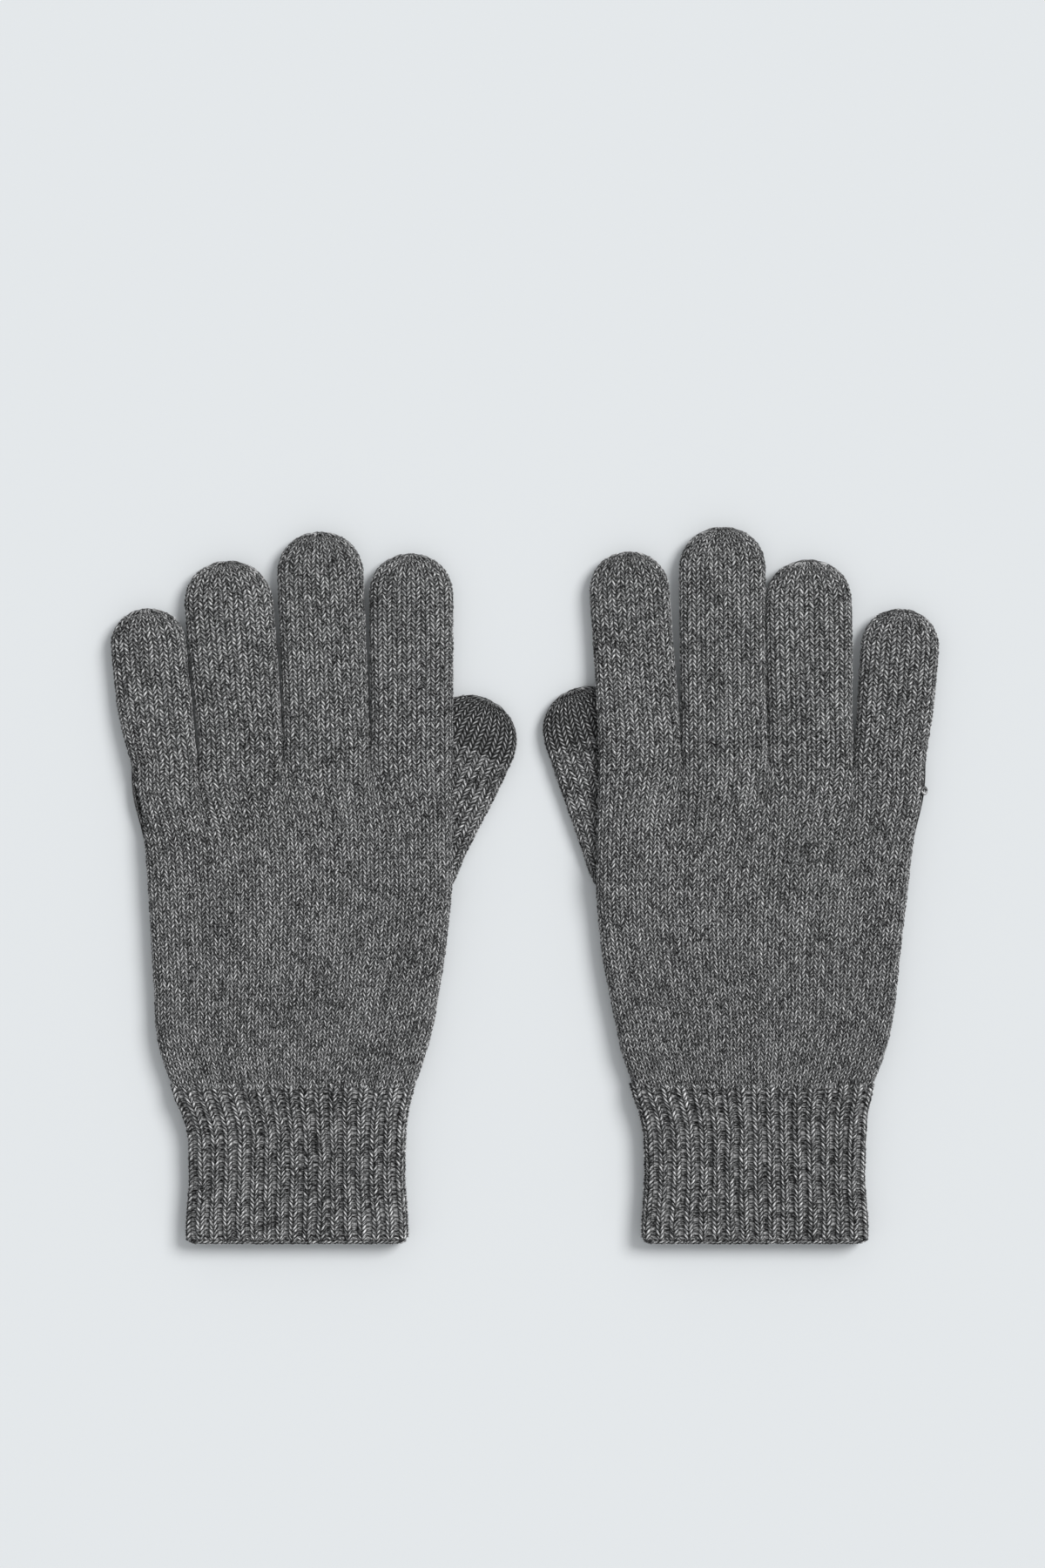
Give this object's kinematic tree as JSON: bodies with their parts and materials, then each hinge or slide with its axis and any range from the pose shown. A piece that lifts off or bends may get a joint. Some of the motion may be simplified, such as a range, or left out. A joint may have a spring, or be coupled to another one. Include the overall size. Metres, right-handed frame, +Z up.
{
  "type": "touchscreen gloves",
  "caption": "Pair of grey seamless knitted gloves with ribbed cuffs and touch-sensitive fingertips, laid palm down with the thumbs tucked under.",
  "frame": {"origin": "on the surface the gloves lie on, under the middle of the pair's box", "axes": "+Z up from the surface, +Y from the cuffs to the fingertips, +X from the left-hand glove to the right-hand one"},
  "size_m": [0.2782, 0.2414, 0.0104],
  "materials": {
    "plain_knit": "stockinette knit of mid-grey heather yarn",
    "rib_knit": "one-by-one rib of the same yarn",
    "conductive_knit": "stockinette knit of the same yarn plied with a fine conductive thread",
    "elastic_yarn": "covered elastic yarn",
    "closing_yarn": "heather yarn, drawn tight"
  },
  "bodies": {
    "left_hand": {"left_cuff_edge": "rib_knit", "left_cuff_rib": "rib_knit", "left_cuff_elastic": "elastic_yarn", "left_hand_lower": "plain_knit", "left_hand_upper": "plain_knit", "left_hand_top": "plain_knit", "left_crotch_stitches": "closing_yarn", "left_index_base": "plain_knit", "left_middle_base": "plain_knit", "left_ring_base": "plain_knit", "left_little_base": "plain_knit", "left_thumb_base": "plain_knit"},
    "left_index": {"left_index_finger": "plain_knit", "left_index_touch_tip": "conductive_knit"},
    "left_middle": {"left_middle_finger": "plain_knit"},
    "left_ring": {"left_ring_finger": "plain_knit"},
    "left_little": {"left_little_finger": "plain_knit"},
    "left_thumb": {"left_thumb": "plain_knit", "left_thumb_touch_tip": "conductive_knit"},
    "right_hand": {"right_cuff_edge": "rib_knit", "right_cuff_rib": "rib_knit", "right_cuff_elastic": "elastic_yarn", "right_hand_lower": "plain_knit", "right_hand_upper": "plain_knit", "right_hand_top": "plain_knit", "right_crotch_stitches": "closing_yarn", "right_index_base": "plain_knit", "right_middle_base": "plain_knit", "right_ring_base": "plain_knit", "right_little_base": "plain_knit", "right_thumb_base": "plain_knit", "right_yarn_knot": "closing_yarn"},
    "right_index": {"right_index_finger": "plain_knit", "right_index_touch_tip": "conductive_knit"},
    "right_middle": {"right_middle_finger": "plain_knit"},
    "right_ring": {"right_ring_finger": "plain_knit"},
    "right_little": {"right_little_finger": "plain_knit"},
    "right_thumb": {"right_thumb": "plain_knit", "right_thumb_touch_tip": "conductive_knit"}
  },
  "joints": [
    {"name": "left_index_bend", "type": "hinge", "parent": "left_hand", "child": "left_index", "pos_m": [-0.03802, 0.05127, 0.0036], "axis": [0.9999, -0.014, 0], "range_deg": [0, 90], "deforming": ["left_index_base"]},
    {"name": "left_middle_bend", "type": "hinge", "parent": "left_hand", "child": "left_middle", "pos_m": [-0.06682, 0.05127, 0.0036], "axis": [0.9996, 0.0279, 0], "range_deg": [-90, 90], "deforming": ["left_middle_base"]},
    {"name": "left_ring_bend", "type": "hinge", "parent": "left_hand", "child": "left_ring", "pos_m": [-0.09592, 0.05126, 0.0036], "axis": [0.9981, 0.061, 0], "range_deg": [-90, 90], "deforming": ["left_ring_base"]},
    {"name": "left_little_bend", "type": "hinge", "parent": "left_hand", "child": "left_little", "pos_m": [-0.12322, 0.04374, 0.0036], "axis": [0.9956, 0.0941, 0], "range_deg": [-90, 90], "deforming": ["left_little_base"]},
    {"name": "left_thumb_open", "type": "hinge", "parent": "left_hand", "child": "left_thumb", "pos_m": [-0.03472, 0.01277, 0.0023], "axis": [-0.9171, 0.3987, 0], "range_deg": [0, 75], "deforming": ["left_thumb_base"]},
    {"name": "right_index_bend", "type": "hinge", "parent": "right_hand", "child": "right_index", "pos_m": [0.03834, 0.05326, 0.0036], "axis": [0.9982, 0.0593, 0], "range_deg": [0, 90], "deforming": ["right_index_base"]},
    {"name": "right_middle_bend", "type": "hinge", "parent": "right_hand", "child": "right_middle", "pos_m": [0.06702, 0.05327, 0.0036], "axis": [0.9993, 0.0366, 0], "range_deg": [-90, 90], "deforming": ["right_middle_base"]},
    {"name": "right_ring_bend", "type": "hinge", "parent": "right_hand", "child": "right_ring", "pos_m": [0.09602, 0.05327, 0.0036], "axis": [0.9998, 0.0209, 0], "range_deg": [-90, 90], "deforming": ["right_ring_base"]},
    {"name": "right_little_bend", "type": "hinge", "parent": "right_hand", "child": "right_little", "pos_m": [0.12372, 0.04575, 0.0036], "axis": [0.9968, -0.0802, 0], "range_deg": [-90, 90], "deforming": ["right_little_base"]},
    {"name": "right_thumb_open", "type": "hinge", "parent": "right_hand", "child": "right_thumb", "pos_m": [0.03339, 0.01493, 0.0023], "axis": [-0.9426, -0.3338, 0], "range_deg": [0, 75], "deforming": ["right_thumb_base"]},
    {"name": "right_glove_lift", "type": "slide", "parent": "left_hand", "child": "right_hand", "axis": [0, 0, 1], "range_m": [0, 0.06]}
  ]
}
